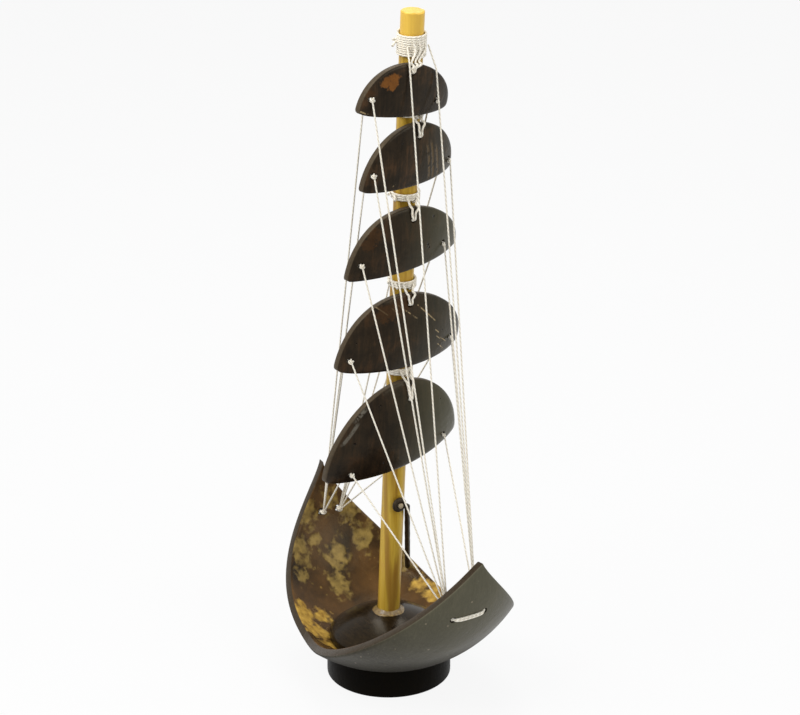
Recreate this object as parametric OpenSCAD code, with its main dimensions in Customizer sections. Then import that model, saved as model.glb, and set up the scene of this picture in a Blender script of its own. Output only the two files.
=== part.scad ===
// Ornamental sailing boat made from coconut shell, with a bamboo mast and thread rigging.
// Millimetres. The origin is the centre of the foot ring's bottom face, +X points to the
// stern, +Y to starboard and +Z up. Sails are numbered from the masthead down.

/* [Foot ring] */
// Outside diameter of the foot ring
foot_d = 50.4; // [40:0.1:60]
// Wall thickness of the foot ring
foot_wall = 4; // [3:0.25:6]
// Height of the hull's lowest point above the table
hull_lift = 6.3; // [5.5:0.1:9]

/* [Hull] */
// Outside radius of the hull's coconut shell
hull_r = 60.5; // [50:0.5:73]
// Thickness of the hull's shell
hull_t = 3.6; // [2.8:0.1:4.5]
// Height of the bow and stern tips above the hull's lowest point
tip_rise = 64.3; // [52:0.1:80]
// Distance of the bow and stern tips to starboard of the hull's middle
tip_shift = 4.4; // [0:0.1:8]
// Height of each gunwale's lowest point above the hull's lowest, port then starboard
gunwale_dip = [11.4, 12.8]; // [9:0.1:22]
// Direction of each gunwale's lowest point from the stern, port then starboard, in degrees
gunwale_low_turn = [104, 98]; // [75:1:120]
// Fullness of the sweep up to the stern tip, port then starboard
stern_sweep = [1.12, 0.84]; // [0.6:0.02:1.4]
// Fullness of the sweep up to the bow tip, port then starboard
bow_sweep = [0.72, 0.76]; // [0.6:0.02:1.4]

/* [Thread holes in the hull] */
// Radius of the thread holes through the hull
hull_hole_r = 1.4; // [1.2:0.1:2]
// Height of the thread holes above the hull's lowest point
hull_hole_rise = 42; // [36:0.5:48]
// Distance between the two stern holes
stern_spacing = 14.6; // [11:0.1:18]
// Distance between the two bow holes
bow_spacing = 8.4; // [7:0.1:14]
// Turn of the bow holes away from the hull's centreline
bow_turn = 5.5; // [0:0.5:8]

/* [Mast step] */
// Radius of the domed shell cap that carries the mast
step_r = 24; // [18:0.5:28]
// Outside radius of curvature of the cap
step_curve_r = 36; // [30:0.5:44]
// Thickness of the cap
step_t = 3.6; // [2.8:0.1:4.5]
// Height of the cap's crown above the inside of the hull
step_crown = 17.6; // [14:0.1:24]

/* [Mast] */
// Diameter of the bamboo mast
mast_d = 9.2; // [7:0.1:11]
// Length of the mast above its step
mast_len = 251; // [205:1:305]
// Rake of the mast towards the stern, in degrees
mast_rake = 3.9; // [0:0.1:6]

/* [Sails] */
// Outside radius of the coconut shells that the sails are cut from
sail_curve_r = 57; // [52:0.5:66]
// Thickness of the sails
sail_t = 2.6; // [2.2:0.1:4.2]
// Width of each sail, from the masthead down
sail_w = [42.2, 45, 53, 58.2, 59.4]; // [34:0.2:76]
// Height of each sail above its widest line
sail_rise = [17, 22.2, 24.4, 27, 34.6]; // [14:0.2:40]
// Depth of each sail below its widest line
sail_sag = [3, 2.3, 0.9, 3.6, 2.4]; // [0.6:0.1:7]
// Distance of each sail's widest line from the masthead
sail_drop = [34.7, 63.2, 98.4, 136.4, 180.5]; // [30:0.1:200]
// Distance of each sail's middle to starboard of the mast
sail_shift = [-6.3, -2.9, -1.2, -0.6, -1.7]; // [-8:0.1:8]
// Turn of each sail about the mast, in degrees
sail_yaw = [13, 14, 9, 5, 4]; // [-15:1:15]
// Roll of each sail in its own plane, in degrees
sail_roll = [-6.3, 0.9, 4.7, 0.3, 12]; // [-8:0.1:14]
// Lean of each sail's top to port, as a share of its height
sail_lean = [0.15, 0.06, 0.16, 0.15, -0.06]; // [-0.1:0.01:0.2]

/* [Holes in the sails] */
// Radius of the holes in the sails
sail_hole_r = 1.1; // [0.9:0.05:1.4]
// Distance of each sail's top hole below its top edge
top_hole_drop = [3.1, 5.1, 4.9, 4, 7.2]; // [3:0.1:9]
// Distance of each sail's top hole to starboard of the mast
top_hole_shift = [-6.9, -2.8, -3.4, -2.5, -1.2]; // [-8:0.1:4]
// Distance of each port hole from the port tip
port_hole_in = [2.9, 2.6, 3.9, 3.6, 8.1]; // [2.5:0.1:16]
// Height of each port hole above the widest line
port_hole_up = [4.4, 5.8, 6.4, 3.4, 2.4]; // [-1:0.1:7]
// Distance of each starboard hole from the starboard tip
starboard_hole_in = [8.6, 3.2, 11.1, 7.7, 9.1]; // [3:0.1:16]
// Height of each starboard hole above the widest line
starboard_hole_up = [3, 3.4, 5.1, 3.3, 2.4]; // [-1:0.1:7]

/* [Thread] */
// Diameter of the stay thread
stay_d = 0.7; // [0.5:0.05:0.8]
// Diameter of the lashing thread
lash_d = 0.9; // [0.7:0.05:1.1]
// Height of the lashing round the mast above each sail
lash_h = [9.4, 1.8, 4, 4.2, 4]; // [1.6:0.1:12]
// Direction in which each backstay leaves the masthead lashing, port then starboard, in degrees
backstay_turn = [-60, 33]; // [-90:1:90]
// Place round the top sail's upper edge at which each backstay crosses it, in degrees
backstay_over = [102, 64]; // [40:1:140]

/* [Brace] */
// Diameter of the brace behind the mast
brace_d = 2.3; // [1.8:0.1:3]
// Height of the brace's eye above the mast step
brace_up = 50; // [44:0.5:60]
// Direction of the brace's foot, in degrees from the stern
brace_turn = 136; // [125:1:150]
// Height of the brace's foot above the inside of the hull
brace_foot_rise = 17.5; // [14:0.5:24]
// Radius of the brace's eye
eye_r = 3.1; // [2.6:0.1:4]
// Thickness of the brace's eye
eye_t = 1.7; // [1.4:0.1:2.5]
// Radius of the pin through the eye
pin_r = 0.8; // [0.6:0.1:1.2]
// Distance of the eye to port of the mast's middle
eye_shift = 0.6; // [0:0.1:1.5]

/* [Clearances] */
// Gap between glued faces
glue_gap = 0.05; // [0.02:0.01:0.1]
// Radial running gap of a lashing round the mast
running_gap = 0.08; // [0.02:0.01:0.1]
// Gap between a sail's edge and the mast
sail_gap = 0.3; // [0.25:0.05:0.6]
// Gap between threads and their neighbours
thread_gap = 0.3; // [0.25:0.05:0.5]
// Gap between a lashing's lowest turn and the sail below it
wrap_gap = 0.5; // [0.3:0.1:1]

/* [Hidden] */
$fn = 48;
SAILS = [0 : 4];

shell_brown = "#3a2a20";
bamboo_yellow = "#c9a24b";
thread_cream = "#e9dfc6";

foot_r = foot_d / 2;
mast_r = mast_d / 2;
stay_r = stay_d / 2;
lash_r = lash_d / 2;
brace_r = brace_d / 2;
hull_in_r = hull_r - hull_t;
hull_c = [0, 0, hull_lift + hull_r];
hull_floor = hull_lift + hull_t;
tip_el = asin((tip_rise - hull_r) / hull_r);
quarter_steps = 14;
sail_in_r = sail_curve_r - sail_t;
step_z = hull_floor + step_crown;
step_c = [0, 0, step_z - step_curve_r];
// How far a cutting shape reaches past what it cuts
past = 1;
// Radius of the ball at a thread's bend, as a share of the thread's
bend_r = 1.12;
hole_el = asin((hull_hole_rise - hull_r) / hull_r);
stern_half = asin(stern_spacing / 2 / hull_r);
bow_half = asin(bow_spacing / 2 / hull_r);
bow_az = 180 - bow_turn;
brace_side = brace_r + mast_r * 0.18;
brace_end = raked([mast_r + eye_t + 0.8 * brace_r, brace_side, brace_up]);
brace_foot_z = hull_floor + brace_foot_rise;
brace_foot_out = sqrt(pow(hull_in_r, 2) - pow(hull_c[2] - brace_foot_z, 2));
brace_foot = [brace_foot_out * cos(brace_turn), brace_foot_out * sin(brace_turn), brace_foot_z];
pin_depth = mast_r * 0.8;
glue_h = 2;
knot_r = 1.7;
knot_r_in = hull_in_r - knot_r - sail_gap;
sail_knot_r = 1.3 * stay_d;
stay_pitch = stay_d + thread_gap;
wrap_r = mast_r + running_gap + 1.15 * lash_d;

// Vectors
function unit(v) = v / norm(v);
// A point given along the mast, in the boat's frame
function raked(p) = [p[0] * cos(mast_rake) + p[2] * sin(mast_rake), p[1],
    step_z - p[0] * sin(mast_rake) + p[2] * cos(mast_rake)];
// A point at an end of the hull: az and el aim at the end, turn spreads the two holes
function at_end(az, el, turn, r) = hull_c + r * [
    cos(turn) * cos(el) * cos(az) - sin(turn) * sin(az),
    cos(turn) * cos(el) * sin(az) + sin(turn) * cos(az),
    cos(turn) * sin(el)];

// Sail sizes: widest line, top and bottom above the step, and the crown of its curve
function sail_z(i) = mast_len - sail_drop[i];
function sail_top(i) = sail_z(i) + sail_rise[i];
function sail_mid(i) = sail_z(i) + (sail_rise[i] - sail_sag[i]) / 2;
function sail_half(i) = (sail_rise[i] + sail_sag[i]) / 2;
function wrap_low(i) = sail_top(i) + wrap_gap;
function sail_crown(i) = mast_r + sail_gap + sail_curve_r
    - sqrt(pow(sail_in_r, 2) - pow(sail_half(i) + past, 2));
// Distance of a sail's face in front of the mast's axis, for a shell radius r
function face(i, s, z, r) = sail_crown(i) - sail_curve_r
    + sqrt(r * r - s * s - pow(z - sail_mid(i), 2));
function front(i, s, z) = face(i, s, z, sail_curve_r);
function back(i, s, z) = face(i, s, z, sail_in_r);
function sail_point(i, depth, s, z) = raked([
    depth * cos(sail_yaw[i]) - s * sin(sail_yaw[i]),
    depth * sin(sail_yaw[i]) + s * cos(sail_yaw[i]), z]);
// Places on a sail as [across, up], t running from its starboard tip to its port tip
function rolled(i, s, z) = [
    sail_shift[i] + s * cos(sail_roll[i]) - z * sin(sail_roll[i]),
    sail_z(i) + s * sin(sail_roll[i]) + z * cos(sail_roll[i])];
function upper_edge(i, t) = [sail_w[i] / 2 * cos(t),
    sail_rise[i] * sin(t) * (1 - sail_lean[i] * cos(t))];
function sail_edge(i, t) = rolled(i, upper_edge(i, t)[0], upper_edge(i, t)[1]);
function top_hole(i) = [top_hole_shift[i], sail_top(i) - top_hole_drop[i]];
function port_hole(i) = rolled(i, port_hole_in[i] - sail_w[i] / 2, port_hole_up[i]);
function starboard_hole(i) = rolled(i, sail_w[i] / 2 - starboard_hole_in[i], starboard_hole_up[i]);

// Ends of the threads at the hull: rows of two, side by side in the order of the fan,
// so that no thread crosses another
function fan_end(knot, low, high, place) =
    let (a = unit(low - knot), b = unit(high - knot), m = unit(a + b),
        side = unit((b - a) - m * ((b - a) * m)), across = cross(m, side))
    knot + side * (floor(place / 2) - 1) * stay_pitch + across * (place % 2 - 0.5) * stay_pitch;
function short_of(target, from) = target + unit(from - target) * (knot_r + thread_gap);
function hole_front(i, h) = sail_point(i, front(i, h[0], h[1]) + sail_knot_r + glue_gap, h[0], h[1]);
function hole_back(i, h) = sail_point(i, back(i, h[0], h[1]) - stay_d, h[0], h[1]);

module on_mast() {
    translate([0, 0, step_z])
        rotate([0, mast_rake, 0])
            children();
}

// Moves what is drawn along +Z from the origin so that it runs from a towards b
module aimed(a, b) {
    v = b - a;
    translate(a)
        rotate([0, acos(v[2] / norm(v)), atan2(v[1], v[0])])
            children();
}

module rod(a, b, r) {
    aimed(a, b)
        cylinder(h = norm(b - a), r = r);
}

// Rods along the points, with a ball at each bend
module thread(points, r) {
    for (k = [1 : len(points) - 1])
        rod(points[k - 1], points[k], r);
    for (k = [1 : 1 : len(points) - 2])
        aimed(points[k], points[k + 1])
            sphere(bend_r * r);
}

// Angle below the hull's middle of a point of the gunwale, at a share of the way from a tip
function gunwale_el(low, sweep, share) =
    tip_el - (tip_el - low) * pow(sin(90 * share), sweep);
// Directions round the hull, as [azimuth, elevation], from one tip to a gunwale's lowest point
function quarter(tip, low_az, low_el, sweep) = [for (k = [0 : quarter_steps])
    let (share = pow(k / quarter_steps, 1.5))
    [tip + (low_az - tip) * share, gunwale_el(low_el, sweep, share)]];
function backwards(v) = [for (k = [len(v) - 1 : -1 : 1]) v[k]];
function gunwale() =
    let (tip = asin(tip_shift / hull_r),
        low = [for (dip = gunwale_dip) asin((dip - hull_r) / hull_r)],
        a = quarter(tip, gunwale_low_turn[1], low[1], stern_sweep[1]),
        b = quarter(180 - tip, gunwale_low_turn[1], low[1], bow_sweep[1]),
        c = quarter(180 - tip, 360 - gunwale_low_turn[0], low[0], bow_sweep[0]),
        d = quarter(360 + tip, 360 - gunwale_low_turn[0], low[0], stern_sweep[0]))
    concat([for (k = [0 : quarter_steps - 1]) a[k]], backwards(b),
        [for (k = [0 : quarter_steps - 1]) c[k]], backwards(d));

// Everything above the gunwales, spreading from the hull's centre
module above_gunwales() {
    dirs = gunwale();
    n = len(dirs);
    reach = 3 * hull_r;
    points = concat(
        [for (d = dirs) reach * [cos(d[1]) * cos(d[0]), cos(d[1]) * sin(d[0]), sin(d[1])]],
        [[0, 0, 0], [0, 0, 2 * reach]]);
    translate(hull_c)
        polyhedron(points, concat(
            [for (k = [0 : n - 1]) [n, k, (k + 1) % n]],
            [for (k = [0 : n - 1]) [n + 1, (k + 1) % n, k]]));
}

module end_frame(az) {
    translate(hull_c)
        rotate([0, -hole_el, az])
            children();
}

module end_holes(az, half) {
    for (turn = [-half, half])
        end_frame(az)
            rotate([0, 0, turn])
                translate([hull_in_r - past, 0, 0])
                    rotate([0, 90, 0])
                        cylinder(h = hull_t + 2 * past, r = hull_hole_r);
}

module hull() {
    color(shell_brown)
        difference() {
            translate(hull_c)
                sphere(hull_r, $fn = 128);
            translate(hull_c)
                sphere(hull_in_r, $fn = 128);
            above_gunwales();
            end_holes(0, stern_half);
            end_holes(bow_az, bow_half);
        }
}

module foot_ring() {
    color("#17130f")
        difference() {
            cylinder(h = hull_lift + foot_r, r = foot_r);
            translate([0, 0, -past])
                cylinder(h = hull_lift + foot_r + 2 * past, r = foot_r - foot_wall);
            translate(hull_c)
                sphere(hull_r + glue_gap, $fn = 128);
            translate([0, 0, hull_c[2]])
                cylinder(h = 2 * foot_r, r = foot_r + past);
        }
}

module mast_step() {
    color("#241812")
        intersection() {
            difference() {
                translate(step_c)
                    sphere(step_curve_r, $fn = 96);
                translate(step_c)
                    sphere(step_curve_r - step_t, $fn = 96);
            }
            cylinder(h = step_z + past, r = step_r);
            translate(hull_c)
                sphere(hull_in_r - glue_gap, $fn = 128);
        }
}

module mast() {
    color(bamboo_yellow)
        difference() {
            on_mast()
                translate([0, 0, -2 * past])
                    cylinder(h = mast_len + 2 * past, r = mast_r);
            translate(step_c)
                sphere(step_curve_r + glue_gap, $fn = 96);
            on_mast()
                brace_bore(pin_depth);
        }
}

module mast_glue() {
    color("#d8c89a")
        difference() {
            on_mast()
                translate([0, 0, -past])
                    cylinder(h = glue_h + past, r1 = mast_r + 1.2 * glue_h, r2 = mast_r + 0.3 * glue_h);
            on_mast()
                translate([0, 0, -2 * past])
                    cylinder(h = glue_h + 4 * past, r = mast_r + glue_gap);
            translate(step_c)
                sphere(step_curve_r + glue_gap, $fn = 96);
        }
}

// Hole for the pin, reaching inwards past the mast's surface by depth
module brace_bore(depth) {
    translate([mast_r - depth, -eye_shift, brace_up])
        rotate([0, 90, 0])
            cylinder(h = depth + eye_t + 2 * past, r = pin_r + glue_gap);
}

module mast_brace() {
    color("#231a12")
        difference() {
            union() {
                on_mast()
                    translate([mast_r + glue_gap, -eye_shift, brace_up])
                        rotate([0, 90, 0])
                            cylinder(h = eye_t, r = eye_r);
                intersection() {
                    rod(brace_end, brace_foot + unit(brace_foot - brace_end) * hull_t, brace_r);
                    translate(hull_c)
                        sphere(hull_in_r - glue_gap, $fn = 128);
                }
                translate(brace_end)
                    sphere(brace_r);
            }
            on_mast()
                brace_bore(past);
        }
}

module brace_pin() {
    head_h = 0.8;
    color("#b9a884")
        on_mast()
            translate([mast_r - pin_depth + glue_gap, -eye_shift, brace_up])
                rotate([0, 90, 0]) {
                    cylinder(h = pin_depth + eye_t + glue_gap, r = pin_r);
                    translate([0, 0, pin_depth + eye_t + glue_gap])
                        cylinder(h = head_h, r = 1.4 * pin_r);
                }
}

// Knots inside the hull, threads through its holes and the doubled thread between them outside
module hull_tie(az, half) {
    out_r = hull_r + stay_d + glue_gap;
    color(thread_cream)
        end_frame(az) {
            for (turn = [-half, half])
                rotate([0, 0, turn]) {
                    translate([knot_r_in, 0, 0])
                        rotate([0, 90, 0]) {
                            sphere(knot_r);
                            cylinder(h = out_r - knot_r_in, r = stay_d);
                        }
                    translate([out_r, 0, 0])
                        rotate([0, 90, 0])
                            sphere(bend_r * stay_d);
                }
            rotate([0, 0, -half])
                rotate_extrude(angle = 2 * half)
                    translate([out_r, 0])
                        circle(r = 0.8 * stay_d);
        }
}

module stern_tie() {
    hull_tie(0, stern_half);
}

module bow_tie() {
    hull_tie(bow_az, bow_half);
}

// Outline of a sail: a leaning half ellipse over a shallow rounded foot
module sail_outline(i) {
    steps = 24;
    half = sail_w[i] / 2;
    over = [for (k = [0 : steps]) upper_edge(i, 180 * k / steps)];
    under = [for (k = [1 : steps - 1])
        let (t = 180 * k / steps)
        [-half * cos(t), -sail_sag[i] * pow(sin(t), 0.5)]];
    polygon(concat(over, under));
}

module sail_bore(h) {
    translate([-sail_curve_r / 2, h[0], h[1]])
        rotate([0, 90, 0])
            cylinder(h = sail_curve_r, r = sail_hole_r);
}

module sail(i) {
    color(shell_brown)
        on_mast()
            rotate([0, 0, sail_yaw[i]])
                difference() {
                    intersection() {
                        translate([sail_crown(i) - sail_curve_r, 0, sail_mid(i)])
                            difference() {
                                sphere(sail_curve_r, $fn = 128);
                                sphere(sail_in_r, $fn = 128);
                            }
                        translate([0, sail_shift[i], sail_z(i)])
                            rotate([sail_roll[i], 0, 0])
                                rotate([90, 0, 90])
                                    translate([0, 0, -sail_curve_r / 2])
                                        linear_extrude(sail_curve_r)
                                            sail_outline(i);
                    }
                    sail_bore(top_hole(i));
                    sail_bore(port_hole(i));
                    sail_bore(starboard_hole(i));
                }
}

// Turns round the mast above a sail, and two threads from them through the sail's top hole
module lashing(i) {
    h = top_hole(i);
    low = wrap_low(i);
    lift = lash_r + thread_gap;
    color(thread_cream) {
        on_mast()
            translate([0, 0, low])
                difference() {
                    cylinder(h = lash_h[i], r = wrap_r);
                    translate([0, 0, -past])
                        cylinder(h = lash_h[i] + 2 * past, r = mast_r + running_gap);
                }
        for (side = [-1, 1]) {
            s = h[0] + side * 0.7 * lash_d;
            start = 0.3 * h[0] + side * 1.6 * lash_d;
            edge = sail_top(i) + lift;
            depth = front(i, h[0], sail_top(i)) + lift;
            thread([
                sail_point(i, mast_r + lash_r, start, low + lash_h[i] * 0.7),
                sail_point(i, depth, start, edge),
                sail_point(i, front(i, s, h[1]) + lift, h[0] + side * lash_r, h[1] + lash_r),
                sail_point(i, back(i, h[0], h[1]), h[0] + side * 0.6 * lash_r, h[1])], lash_r);
        }
    }
}

// One thread from a bow hole up to a sail's corner, through it, and down to a stern hole
module stay(i, h, side, holes) {
    place = 4 - i;
    rear = hole_back(i, h);
    fore = hole_front(i, h);
    bow_knot = at_end(bow_az, hole_el, -side * bow_half, knot_r_in);
    stern_knot = at_end(0, hole_el, side * stern_half, knot_r_in);
    bow = fan_end(bow_knot, hole_back(4, holes[4]), hole_back(0, holes[0]), place);
    stern = fan_end(stern_knot, hole_front(4, holes[4]), hole_front(0, holes[0]), place);
    color(thread_cream) {
        thread([short_of(bow, rear), rear, fore, short_of(stern, fore)], stay_r);
        aimed(fore, stern)
            sphere(sail_knot_r);
    }
}

module stay_port(i) {
    holes = [for (k = SAILS) port_hole(k)];
    stay(i, holes[i], -1, holes);
}

module stay_starboard(i) {
    holes = [for (k = SAILS) starboard_hole(k)];
    stay(i, holes[i], 1, holes);
}

// Thread from the masthead lashing over the top sail's edge down to a stern hole
module backstay(side, holes) {
    turn = backstay_turn[side < 0 ? 0 : 1];
    over = sail_edge(0, backstay_over[side < 0 ? 0 : 1]);
    out = wrap_r + stay_d;
    from = sail_point(0, out * cos(turn), out * sin(turn), wrap_low(0) + lash_h[0] / 2);
    edge = sail_point(0, front(0, over[0], over[1]) + stay_d, over[0], over[1] + stay_d);
    stern_knot = at_end(0, hole_el, side * stern_half, knot_r_in);
    stern = fan_end(stern_knot, hole_front(4, holes[4]), hole_front(0, holes[0]), 5);
    color(thread_cream)
        thread([from, edge, short_of(stern, edge)], stay_r);
}

module backstay_port() {
    backstay(-1, [for (k = SAILS) port_hole(k)]);
}

module backstay_starboard() {
    backstay(1, [for (k = SAILS) starboard_hole(k)]);
}

foot_ring();
hull();
mast_step();
mast();
mast_glue();
mast_brace();
brace_pin();
bow_tie();
stern_tie();
backstay_port();
backstay_starboard();
sail(0);  // sail_1
sail(1);  // sail_2
sail(2);  // sail_3
sail(3);  // sail_4
sail(4);  // sail_5
lashing(0);  // lashing_1
lashing(1);  // lashing_2
lashing(2);  // lashing_3
lashing(3);  // lashing_4
lashing(4);  // lashing_5
stay_port(0);  // stay_port_1
stay_port(1);  // stay_port_2
stay_port(2);  // stay_port_3
stay_port(3);  // stay_port_4
stay_port(4);  // stay_port_5
stay_starboard(0);  // stay_starboard_1
stay_starboard(1);  // stay_starboard_2
stay_starboard(2);  // stay_starboard_3
stay_starboard(3);  // stay_starboard_4
stay_starboard(4);  // stay_starboard_5
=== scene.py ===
"""Looks of a coconut-shell sailing boat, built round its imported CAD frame.

Every length is in millimetres, in the boat's frame, until a mesh is made: +X is the stern,
+Y starboard and +Z up. Sails are numbered from the masthead down.
"""

import random
from math import asin, atan2, ceil, cos, degrees, hypot, pi, radians, sin, sqrt

import bpy
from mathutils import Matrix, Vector, noise

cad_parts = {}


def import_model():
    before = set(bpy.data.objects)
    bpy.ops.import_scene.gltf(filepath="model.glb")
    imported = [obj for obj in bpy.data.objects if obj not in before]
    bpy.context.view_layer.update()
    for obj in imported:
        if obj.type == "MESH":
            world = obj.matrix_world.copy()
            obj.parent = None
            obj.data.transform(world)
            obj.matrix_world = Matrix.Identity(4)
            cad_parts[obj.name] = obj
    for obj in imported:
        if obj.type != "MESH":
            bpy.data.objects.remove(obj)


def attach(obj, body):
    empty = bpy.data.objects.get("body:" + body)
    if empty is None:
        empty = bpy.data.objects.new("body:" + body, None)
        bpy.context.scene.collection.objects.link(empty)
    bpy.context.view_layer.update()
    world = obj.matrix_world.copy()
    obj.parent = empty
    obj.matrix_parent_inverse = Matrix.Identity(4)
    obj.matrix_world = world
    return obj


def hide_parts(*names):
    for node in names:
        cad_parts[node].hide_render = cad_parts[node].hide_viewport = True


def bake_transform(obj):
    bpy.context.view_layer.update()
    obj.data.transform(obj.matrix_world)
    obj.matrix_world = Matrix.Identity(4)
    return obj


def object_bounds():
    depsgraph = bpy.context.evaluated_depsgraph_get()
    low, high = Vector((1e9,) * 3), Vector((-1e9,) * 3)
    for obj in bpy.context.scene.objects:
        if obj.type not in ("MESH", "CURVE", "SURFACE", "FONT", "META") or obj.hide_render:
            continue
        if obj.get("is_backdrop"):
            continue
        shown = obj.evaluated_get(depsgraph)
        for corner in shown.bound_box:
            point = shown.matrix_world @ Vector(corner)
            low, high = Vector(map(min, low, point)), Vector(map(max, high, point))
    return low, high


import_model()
cad_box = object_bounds()

MM = 0.001

# ------ sizes, as in the CAD part
HULL_LIFT = 6.3
HULL_R = 60.5
HULL_T = 3.6
HULL_IN_R = HULL_R - HULL_T
HULL_C = Vector((0, 0, HULL_LIFT + HULL_R))
# clearance between pieces that don't touch
GAP = 0.3
# heights are above the hull's lowest point, directions in degrees from the stern
TIP_RISE = 64.3
TIP_SHIFT = 4.4
TIP_EL = degrees(asin((TIP_RISE - HULL_R) / HULL_R))
TIP_AZ = degrees(asin(TIP_SHIFT / HULL_R))
# (direction of the lowest point, its height, sweep to the stern tip, sweep to the bow tip)
PORT_GUNWALE = (360 - 104, 11.4, 1.12, 0.72)
STARBOARD_GUNWALE = (98, 12.8, 0.84, 0.76)
HULL_HOLE_R = 1.4
HULL_HOLE_RISE = 42.0
HULL_HOLE_EL = asin((HULL_HOLE_RISE - HULL_R) / HULL_R)
STERN_HOLE_GAP = 14.6
BOW_HOLE_GAP = 8.4
STERN_HALF = asin(STERN_HOLE_GAP / 2 / HULL_R)
BOW_HALF = asin(BOW_HOLE_GAP / 2 / HULL_R)
BOW_AZ = pi - radians(5.5)

FOOT_R = 25.2
FOOT_WALL = 4.0
STEP_R = 24.0
STEP_CURVE_R = 36.0
STEP_T = 3.6
STEP_RISE = 17.6
STEP_Z = HULL_LIFT + HULL_T + STEP_RISE
STEP_C = Vector((0, 0, STEP_Z - STEP_CURVE_R))

MAST_R = 4.6
MAST_LEN = 251.0
MAST_RAKE = radians(3.9)

SAIL_CURVE_R = 57.0
SAIL_T = 2.6
SAIL_W = [42.2, 45, 53, 58.2, 59.4]
SAIL_RISE = [17, 22.2, 24.4, 27, 34.6]
SAIL_SAG = [3, 2.3, 0.9, 3.6, 2.4]
SAIL_DROP = [34.7, 63.2, 98.4, 136.4, 180.5]
SAIL_SHIFT = [-6.3, -2.9, -1.2, -0.6, -1.7]
SAIL_YAW = [13, 14, 9, 5, 4]
SAIL_ROLL = [-6.3, 0.9, 4.7, 0.3, 12]
SAIL_LEAN = [0.15, 0.06, 0.16, 0.15, -0.06]
SAIL_BEVEL = [0.6, 0.6, 0.6, 0.6, 1.3]
SAIL_HOLE_R = 1.1
TOP_HOLE_DROP = [3.1, 5.1, 4.9, 4, 7.2]
TOP_HOLE_SHIFT = [-6.9, -2.8, -3.4, -2.5, -1.2]
PORT_HOLE_IN = [2.9, 2.6, 3.9, 3.6, 8.1]
PORT_HOLE_UP = [4.4, 5.8, 6.4, 3.4, 2.4]
STARBOARD_HOLE_IN = [8.6, 3.2, 11.1, 7.7, 9.1]
STARBOARD_HOLE_UP = [3, 3.4, 5.1, 3.3, 2.4]
SAILS = range(5)

# the CAD's stays are a hair thicker, 0.35
STAY_R = 0.32
LASH_R = 0.45
LASH_H = [9.4, 1.8, 4, 4.2, 4]
RUNNING_GAP = 0.08
KNOT_R = 1.7
KNOT_AT_R = HULL_IN_R - KNOT_R - GAP

BRACE_R = 1.15
BRACE_UP = 50.0
BRACE_TURN = radians(136)
BRACE_FOOT_Z = HULL_LIFT + HULL_T + 17.5
EYE_R, EYE_T, EYE_SHIFT = 3.1, 1.7, -0.6
PIN_R = 0.8
# what touches in the CAD is this far apart here
PLAY = 0.05


# ------ places
def raked(p):
    """A point given along the mast, in the boat's frame."""
    x, y, z = p
    return Vector(
        (
            x * cos(MAST_RAKE) + z * sin(MAST_RAKE),
            y,
            STEP_Z - x * sin(MAST_RAKE) + z * cos(MAST_RAKE),
        )
    )


def along_mast(x, y, z):
    """A direction in the mast's own frame."""
    return raked((x, y, z)) - raked((0, 0, 0))


def at_end(az, turn, r):
    """A point of the hull's end at az, in line with its thread holes: turn goes sideways."""
    el = HULL_HOLE_EL
    return HULL_C + r * Vector(
        (
            cos(turn) * cos(el) * cos(az) - sin(turn) * sin(az),
            cos(turn) * cos(el) * sin(az) + sin(turn) * cos(az),
            cos(turn) * sin(el),
        )
    )


def sail_z(i):
    return MAST_LEN - SAIL_DROP[i]


def sail_top(i):
    return sail_z(i) + SAIL_RISE[i]


def sail_mid(i):
    return sail_z(i) + (SAIL_RISE[i] - SAIL_SAG[i]) / 2


def sail_crown(i):
    half = (SAIL_RISE[i] + SAIL_SAG[i]) / 2 + 1
    return MAST_R + GAP + SAIL_CURVE_R - sqrt((SAIL_CURVE_R - SAIL_T) ** 2 - half**2)


def face(i, s, z, r):
    """Depth in front of the mast's axis of the sail's face of shell radius r."""
    return sail_crown(i) - SAIL_CURVE_R + sqrt(r * r - s * s - (z - sail_mid(i)) ** 2)


def front(i, s, z):
    return face(i, s, z, SAIL_CURVE_R)


def back(i, s, z):
    return face(i, s, z, SAIL_CURVE_R - SAIL_T)


def sail_point(i, depth, s, z):
    yaw = radians(SAIL_YAW[i])
    return raked((depth * cos(yaw) - s * sin(yaw), depth * sin(yaw) + s * cos(yaw), z))


def rolled(i, s, z):
    roll = radians(SAIL_ROLL[i])
    return (
        SAIL_SHIFT[i] + s * cos(roll) - z * sin(roll),
        sail_z(i) + s * sin(roll) + z * cos(roll),
    )


def top_hole(i):
    return TOP_HOLE_SHIFT[i], sail_top(i) - TOP_HOLE_DROP[i]


def side_hole(i, side):
    if side < 0:
        return rolled(i, PORT_HOLE_IN[i] - SAIL_W[i] / 2, PORT_HOLE_UP[i])
    return rolled(i, SAIL_W[i] / 2 - STARBOARD_HOLE_IN[i], STARBOARD_HOLE_UP[i])


def gunwale_el(az):
    """Angle, from the hull's middle, at which the gunwale lies in the direction az."""
    az = degrees(az) % 360
    starboard = TIP_AZ <= az <= 180 - TIP_AZ
    low_az, dip, to_stern, to_bow = STARBOARD_GUNWALE if starboard else PORT_GUNWALE
    low_el = degrees(asin((dip - HULL_R) / HULL_R))
    if starboard:
        tip, sweep = (TIP_AZ, to_stern) if az < low_az else (180 - TIP_AZ, to_bow)
    else:
        az += 360 * (az < TIP_AZ)
        tip, sweep = (360 + TIP_AZ, to_stern) if az > low_az else (180 - TIP_AZ, to_bow)
    share = (az - tip) / (low_az - tip)
    return TIP_EL - (TIP_EL - low_el) * max(0.0, sin(radians(90 * share))) ** sweep


# ------ meshes
def added(name, data):
    obj = bpy.data.objects.new(name, data)
    bpy.context.scene.collection.objects.link(obj)
    return obj


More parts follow.
